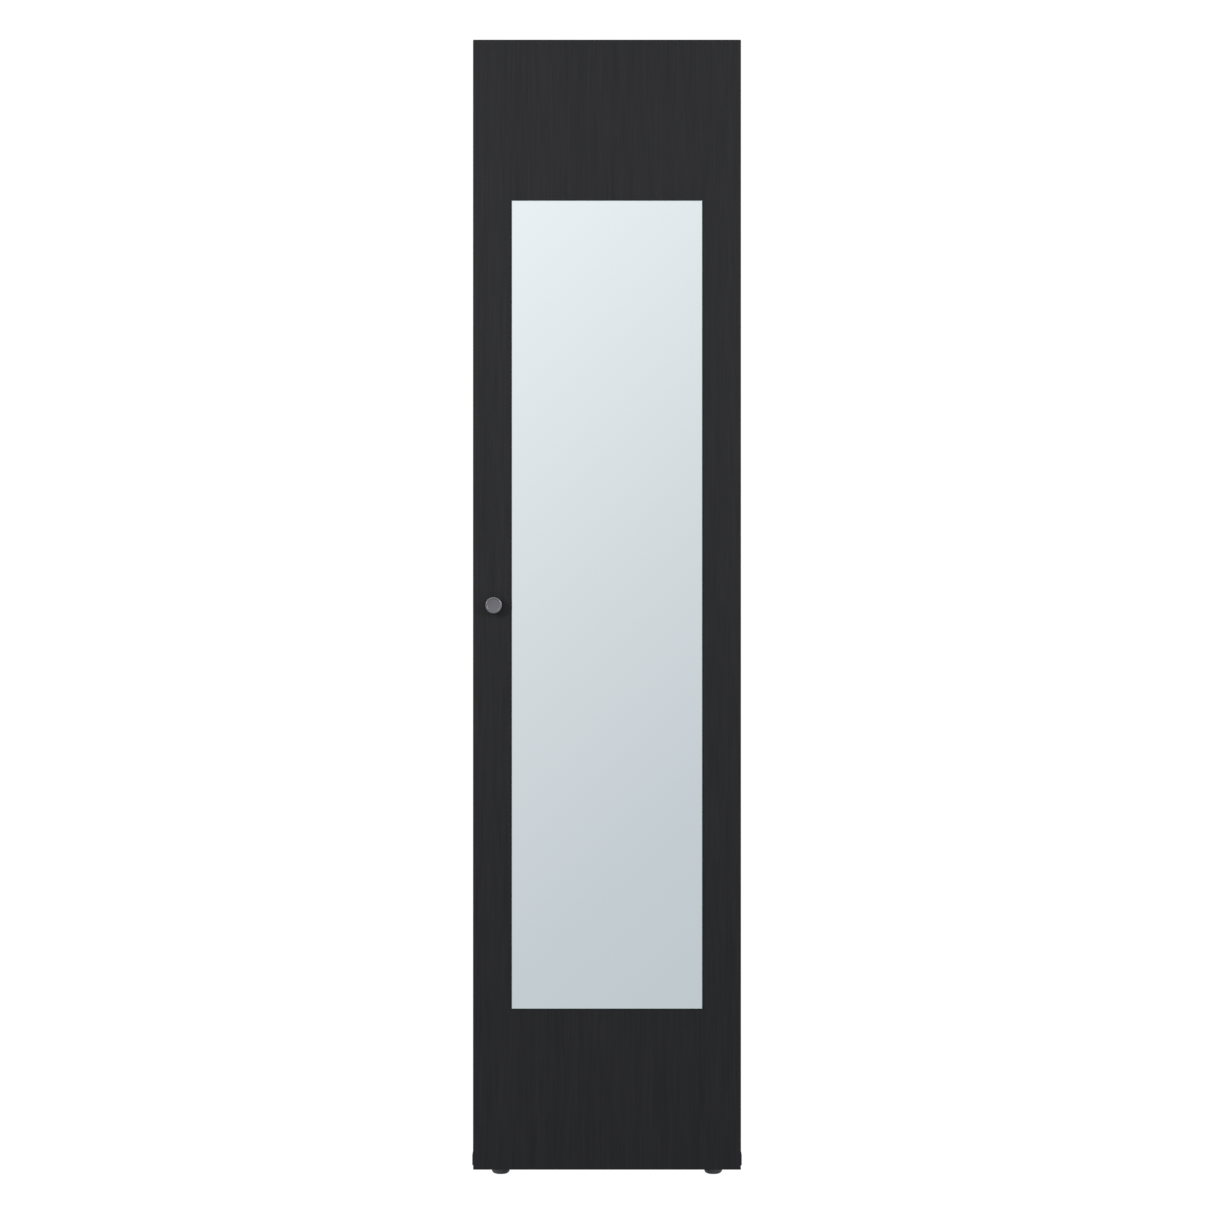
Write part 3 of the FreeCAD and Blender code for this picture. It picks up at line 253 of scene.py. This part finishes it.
def hardboard():
    """Hardboard: brown and fibrous behind, printed anthracite on its inner face."""
    s = Surface("hardboard_back")
    fibres = s.noise(420, detail=5, rough=0.7, twist=1.5)
    cloud = s.noise(14, detail=4)
    brown = s.blend(s.step(fibres, 0.35, 0.68), HARDBOARD_DARK, HARDBOARD_PALE)
    brown = s.blend(s.step(cloud, 0.35, 0.75, 0, 0.35), brown, HARDBOARD_DARK)
    grain = s.noise(GRAIN_ALONG["Z"], rough=0.6)
    print_tone = s.blend(s.vary(grain, 0, 1), ANTHRACITE, ANTHRACITE_PALE)
    inner = s.step(s.parts(s.facing)[1], *PRINT_FACING)
    return s.finish(
        base_color=s.blend(inner, brown, print_tone),
        roughness=s.mix(inner, FIBRE_ROUGH, PRINT_ROUGH),
        specular_ior_level=PRINT_SPECULAR,
        normal=s.relief((fibres, 0.05 * MM)),
    )


def beech():
    s = Surface("beech_dowel")
    grain = s.noise((60, 900, 900), detail=4, twist=0.8)
    return s.finish(
        base_color=s.blend(s.step(grain, 0.35, 0.65), BEECH_DARK, BEECH_PALE),
        roughness=s.vary(grain, 0.55, 0.70),
        normal=s.relief((grain, 0.08 * MM)),
    )


# ---- mirror ---------------------------------------------------------------------------------------
SILVER_FACING = (0.90, 0.97)            # how far a face must look to the front to be silvered
GROUND_FACING = (0.30, 0.50)            # the same for the ground chamfer
BACKING_FACING = (-0.5, -0.9)
GROUND_ROUGH = (0.24, 0.30)
SIDE_METALLIC = 0.25
FILM_MOST = 0.05                        # roughness where the glass was wiped


def silvered_glass():
    """A silvered front, ground chamfers round it, green glass at the sides and grey backing paint behind."""
    s = Surface("silvered_glass")
    toward_front = s.math("MULTIPLY", s.parts(s.facing)[1], -1)
    silver = s.step(toward_front, *SILVER_FACING)
    ground = s.step(toward_front, *GROUND_FACING)
    backing = s.step(toward_front, *BACKING_FACING)
    edge = s.blend(ground, GLASS_GREEN, GROUND_GLASS)
    colour = s.blend(silver, s.blend(backing, edge, MIRROR_BACKING), SILVER)
    wipes = s.noise((9, 9, 26), detail=4, rough=0.6, twist=0.7)
    dust = s.noise(900, detail=1)
    film = s.math("MULTIPLY", s.step(wipes, 0.45, 0.75, 0, FILM_MOST), s.step(dust, 0.4, 0.8))
    frosted = s.vary(s.noise(2500, detail=1), *GROUND_ROUGH)
    wave = s.noise(3, detail=1)
    return s.finish(
        base_color=colour,
        metallic=s.mix(backing, s.mix(ground, SIDE_METALLIC, 1.0), 0.0),
        roughness=s.mix(silver, frosted, film),
        normal=s.relief((wave, 0.02 * MM)),
    )


def foam_tape():
    s = Surface("foam_tape")
    gap = s.cells(2200)["Distance"]
    return s.finish(
        base_color=s.blend(gap, FOAM, FOAM_DULL),
        roughness=s.step(gap, 0, 1, 0.75, 0.9),
        normal=s.relief((gap, 0.12 * MM)),
    )


# ---- metals ---------------------------------------------------------------------------------------
CLOUD_DULLING, SPECK_DULLING = 0.6, 0.25
RING_PITCH, RING_RELIEF = 0.22 * MM, 0.002 * MM
RIM_BAND_FROM, RIM_BAND_TO = 3.2 * MM, 0.6 * MM           # inwards from the knob's rim: the band polished smoother and painted paler as a highlight
RIM_HIGHLIGHT_TONE, KNOB_CLOUD_TONE = 0.7, 0.3
TURNED_ROUGH, POLISHED_ROUGH = (0.36, 0.46), (0.24, 0.32)
KNOB_METALLIC = 0.85
SPANGLE_PER_METRE = 160
SPANGLE_ROUGH, SPANGLE_ROUGH_CRYSTALS, SPANGLE_ROUGH_FINE = 0.26, 0.16, 0.08


def metal(name, bright, dull, per_metre, rough, spread, depth):
    """Plated or bare metal: cloudy dulling, tool marks along their own direction, and fine scratches."""
    s = Surface(name)
    marks = s.noise(per_metre, rough=0.65)
    cloud = s.noise(35, detail=4, rough=0.6)
    specks = s.math("MULTIPLY", s.noise(1800, detail=1), SPECK_DULLING)
    dulling = s.math("MULTIPLY_ADD", s.step(cloud, 0.40, 0.75), CLOUD_DULLING, specks)
    return s.finish(
        base_color=s.blend(dulling, bright, dull),
        metallic=1.0,
        roughness=s.math("MULTIPLY_ADD", dulling, spread, s.math("MULTIPLY_ADD", marks, spread, rough)),
        normal=s.relief((marks, depth)),
    )


def galvanised():
    """Galvanised sheet: flat crystals, each with its own tone and gloss."""
    s = Surface("galvanised_sheet")
    crystal = s.red(s.cells(SPANGLE_PER_METRE)["Color"])
    fine = s.noise(900, detail=2)
    fine_rough = s.math("MULTIPLY_ADD", fine, SPANGLE_ROUGH_FINE, SPANGLE_ROUGH)
    return s.finish(
        base_color=s.blend(crystal, SPANGLE, SPANGLE_DULL),
        metallic=1.0,
        roughness=s.math("MULTIPLY_ADD", crystal, SPANGLE_ROUGH_CRYSTALS, fine_rough),
        normal=s.relief((fine, 0.01 * MM)),
    )


def knob_metal():
    """Satin grey metal: fine turning rings on the face, smoother where hands polish the rim, and a painted
    highlight that makes the rim paler.
    """
    s = Surface("knob_satin_metal")
    low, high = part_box("knob")
    x, _, z = s.parts(s.vector("SUBTRACT", s.place, tuple((low + high) / 2)))
    radius = s.math("SQRT", s.math("MULTIPLY_ADD", x, x, s.math("MULTIPLY", z, z)))
    rings = s.math("SINE", s.math("MULTIPLY", radius, 2 * math.pi / RING_PITCH))
    rim_radius = (high.x - low.x) / 2
    polished_and_lit_rim = s.step(radius, rim_radius - RIM_BAND_FROM, rim_radius - RIM_BAND_TO)
    fine = s.noise(1600, rough=0.6)
    cloud = s.noise(120)
    # painted highlight: the rim band is blended towards the paler grey, on top of random cloudy tone
    tone = s.math("MULTIPLY_ADD", polished_and_lit_rim, RIM_HIGHLIGHT_TONE, s.math("MULTIPLY", cloud, KNOB_CLOUD_TONE))
    turned, polished = s.vary(fine, *TURNED_ROUGH), s.vary(cloud, *POLISHED_ROUGH)
    return s.finish(
        base_color=s.blend(tone, KNOB_GREY, KNOB_GREY_PALE),
        metallic=KNOB_METALLIC,
        roughness=s.mix(polished_and_lit_rim, turned, polished),
        normal=s.relief((rings, RING_RELIEF), (fine, 0.004 * MM)),
    )


# ---- plastics and soft pieces ---------------------------------------------------------------------
FLOW_TONE, SCUFF_TONE = 0.7, 0.9
TEXTURE_ROUGH, SCUFF_ROUGH = 0.14, 0.12
SILICONE_CLEAR, SILICONE_IOR = 0.75, 1.41


def plastic(name, dark, pale, rough):
    """Moulded plastic with a spark-eroded texture, slight flow clouds and scuffed high spots."""
    s = Surface(name)
    texture = s.noise(2600, detail=2, rough=0.5)
    flow = s.noise((40, 40, 22), detail=4, rough=0.6, twist=0.6)
    scuffs = s.step(s.noise(300, detail=5, rough=0.75), 0.60, 0.74)
    tone = s.math("MAXIMUM", s.step(flow, 0.35, 0.70, 0, FLOW_TONE), s.math("MULTIPLY", scuffs, SCUFF_TONE))
    scuffed = s.math("MULTIPLY_ADD", scuffs, SCUFF_ROUGH, rough)
    return s.finish(
        base_color=s.blend(tone, dark, pale),
        roughness=s.math("MULTIPLY_ADD", texture, TEXTURE_ROUGH, scuffed),
        normal=s.relief((texture, 0.012 * MM)),
    )


def silicone():
    s = Surface("clear_silicone")
    bloom = s.noise(700)
    return s.finish(
        base_color=SILICONE,
        roughness=s.vary(bloom, 0.18, 0.34),
        transmission_weight=SILICONE_CLEAR,
        ior=SILICONE_IOR,
        normal=s.relief((bloom, 0.01 * MM)),
    )


def ferrite():
    s = Surface("sintered_ferrite")
    gap = s.cells(2400)["Distance"]
    pits = s.noise(1500, rough=0.7)
    return s.finish(
        base_color=s.blend(s.step(pits, 0.35, 0.7), FERRITE, FERRITE_PALE),
        roughness=s.vary(pits, 0.45, 0.70),
        normal=s.relief((s.math("MULTIPLY", pits, gap), 0.06 * MM)),
    )


# ---- what each node wears -------------------------------------------------------------------------
def dress_boards():
    for name in ("side_panel_left", "side_panel_right"):
        dress([name], board(name, "Z", raw_rear=True))
    for name in ("top_panel", "bottom_panel", "hat_shelf", "lower_shelf"):
        dress([name], board(name, "X", raw_rear=True))
    dress(["door_panel"], board("door_panel", "Z"))
    dress(["back_panel_lower", "back_panel_upper"], hardboard())
    dress(["wood_dowels"], beech())


def dress_door():
    dress(["mirror_glass"], silvered_glass())
    dress(["mirror_tape"], foam_tape())
    dress(["knob"], knob_metal())
    dress(["door_bumpers"], silicone())


def dress_hardware():
    zinc = metal("zinc_plate", ZINC, ZINC_DULL, per_metre=600, rough=0.34, spread=0.12, depth=0.006 * MM)
    nickel = metal("nickel_plate", NICKEL, NICKEL_DULL, (90, 90, 900), rough=0.30, spread=0.10,
                   depth=0.003 * MM)
    chrome = metal("polished_chrome", CHROME, CHROME_DULL, (4, 700, 700), rough=0.05, spread=0.06,
                   depth=0.002 * MM)
    stems = [f"foot_stem_{corner}" for corner in CORNERS]
    screws = [name for name in NODES if name.endswith(("_screws", "_screw"))]
    dress(["cam_locks", "cam_dowels"] + stems + screws, zinc)
    dress(["hinge_arms", "hinge_plates", "hinge_cups", "hinge_pins", "shelf_pins"], nickel)
    dress(["clothes_rail"], chrome)
    dress(["catch_pole_plates", "strike_plate", "wall_bracket"], galvanised())
    dress(["catch_magnet"], ferrite())


def dress_plastics():
    dark = plastic("dark_plastic", DARK_PLASTIC, DARK_PLASTIC_PALE, rough=0.42)
    pad = plastic("pad_plastic", PAD_PLASTIC, PAD_PLASTIC_PALE, rough=0.46)
    grey = plastic("grey_plastic", GREY_PLASTIC, GREY_PLASTIC_PALE, rough=0.38)
    shoes = [f"corner_shoe_{corner}" for corner in CORNERS]
    dress([f"foot_pad_{corner}" for corner in CORNERS], pad)
    dress(shoes + ["back_joint_strip", "cam_covers", "foot_bushes", "foot_access_caps", "catch_body"], dark)
    dress(["rail_socket_left", "rail_socket_right", "back_wedges"], grey)


# ---- studio ---------------------------------------------------------------------------------------
DOOR_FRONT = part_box("door_panel")[0].y
WHITE = (1, 1, 1, 1)
SEEN_WHITE = 1.02                       # strength of the white that the camera sees
UPRIGHT = (math.pi / 2, 0, 0)
CAMERA_DISTANCE, CAMERA_HEIGHT = 6.0, 1.0025
CAMERA_CLIP = (0.1, 100)
FRAME_WIDTH = 2.1215                    # at the door's face
SENSOR = 36.0
CARD_SIZE = 30.0
CARD_BACK = 3.25                        # from the camera to the card behind it
CARD_LEAN = -0.9                        # the glow rises this much towards the left
CARD_FADE = 2.2                         # from the card's middle to its end tones
CARD_TONES = (
    (0.000, (0.574, 0.622, 0.652, 1)),
    (0.227, (0.612, 0.660, 0.688, 1)),
    (0.500, (0.706, 0.749, 0.773, 1)),
    (1.000, (0.902, 0.953, 0.965, 1)),
)
SKY_LOW = (0.42, 0.46, 0.49, 1)
SKY_HIGH = (0.78, 0.81, 0.82, 1)
SKY_FADE = 0.55                         # sine of the height angle where the glow ends
FLOOR_SIZE = 60
FLOOR_GREY = (0.44, 0.44, 0.44, 1)
FLOOR_GREY_PALE = (0.48, 0.48, 0.48, 1)
FLOOR_ROUGH, FLOOR_SPECULAR = 0.9, 0.1
SOFTBOX_SIZE = 0.9
SOFTBOX_OUT, SOFTBOX_AHEAD, SOFTBOX_HEIGHT = 2.2, 3.0, 2.0
SOFTBOX_AIM_HEIGHT = 1.46
SOFTBOX_WATTS = {"softbox_left": 55, "softbox_right": 49}


def link(name, data, place, turn=(0, 0, 0)):
    made = bpy.data.objects.new(name, data)
    made.location = place
    made.rotation_euler = turn
    bpy.context.scene.collection.objects.link(made)
    return made


def plane(name, size, place, turn=(0, 0, 0)):
    half = size / 2
    corners = [(-half, -half, 0), (half, -half, 0), (half, half, 0), (-half, half, 0)]
    mesh = bpy.data.meshes.new(name)
    mesh.from_pydata(corners, [], [(0, 1, 2, 3)])
    made = link(name, mesh, place, turn)
    return made


def floor():
    """A plain pale floor that looks as white as the background and bounces a little light."""
    made = plane("studio_floor", FLOOR_SIZE, (0, 0, 0))
    s = Surface("pale_floor")
    white = s.node("ShaderNodeEmission", {"Color": WHITE, "Strength": SEEN_WHITE})
    made.data.materials.append(s.finish(
        base_color=s.blend(s.noise(3, detail=2), FLOOR_GREY, FLOOR_GREY_PALE),
        roughness=FLOOR_ROUGH,
        specular_ior_level=FLOOR_SPECULAR,
    ))
    s.split_by_ray("Material Output", s.shader.outputs[0], white.outputs[0])
    made.visible_glossy = False


def card():
    """A broad card behind the camera, brighter towards its top left: what the mirror shows."""
    place = (0, DOOR_FRONT - CAMERA_DISTANCE - CARD_BACK, CAMERA_HEIGHT)
    made = plane("studio_card", CARD_SIZE, place, UPRIGHT)
    s = Surface("card_glow")
    x, y, _ = s.parts(s.place)
    ramp = s.ramp(s.math("MULTIPLY_ADD", x, CARD_LEAN, y), CARD_FADE)
    stops = ramp.color_ramp.elements
    stops.remove(stops[1])
    stops[0].position, stops[0].color = CARD_TONES[0]
    for position, colour in CARD_TONES[1:]:
        stops.new(position).color = colour
    glow = s.node("ShaderNodeEmission", {"Color": ramp.outputs["Color"]})
    s.feed(s.nodes["Material Output"].inputs["Surface"], glow.outputs[0])
    made.data.materials.append(s.material)
    made.visible_camera = False
    made.visible_diffuse = False


def softbox(name, side):
    light = bpy.data.lights.new(name, "AREA")
    light.shape = "RECTANGLE"
    light.size = light.size_y = SOFTBOX_SIZE
    light.energy = SOFTBOX_WATTS[name]
    place = Vector((side * SOFTBOX_OUT, DOOR_FRONT - SOFTBOX_AHEAD, SOFTBOX_HEIGHT))
    aim = Vector((0, DOOR_FRONT, SOFTBOX_AIM_HEIGHT))
    link(name, light, place, (aim - place).to_track_quat("-Z", "Y").to_euler())


def sky():
    """White where the camera looks past the object; as light, a soft glow that fades downwards."""
    world = bpy.data.worlds.new("studio")
    world.use_nodes = True
    t = Tree(world.node_tree)
    height = t.parts(t.node("ShaderNodeTexCoord").outputs["Generated"])["Z"]
    ramp = t.ramp(height, SKY_FADE)
    ramp.color_ramp.elements[0].color = SKY_LOW
    ramp.color_ramp.elements[1].color = SKY_HIGH
    fill = t.nodes["Background"]
    t.feed(fill.inputs["Color"], ramp.outputs["Color"])
    white = t.node("ShaderNodeBackground", {"Color": WHITE, "Strength": SEEN_WHITE})
    t.split_by_ray("World Output", fill.outputs[0], white.outputs[0])
    bpy.context.scene.world = world


def camera():
    data = bpy.data.cameras.new("camera")
    data.sensor_width = SENSOR
    data.lens = SENSOR * CAMERA_DISTANCE / FRAME_WIDTH
    data.clip_start, data.clip_end = CAMERA_CLIP
    bpy.context.scene.camera = link("camera", data, (0, DOOR_FRONT - CAMERA_DISTANCE, CAMERA_HEIGHT), UPRIGHT)


def studio():
    sky()
    floor()
    card()
    softbox("softbox_left", -1)
    softbox("softbox_right", 1)
    camera()
    bpy.context.scene.view_settings.view_transform = "Standard"


dress_boards()
dress_door()
dress_hardware()
dress_plastics()
studio()
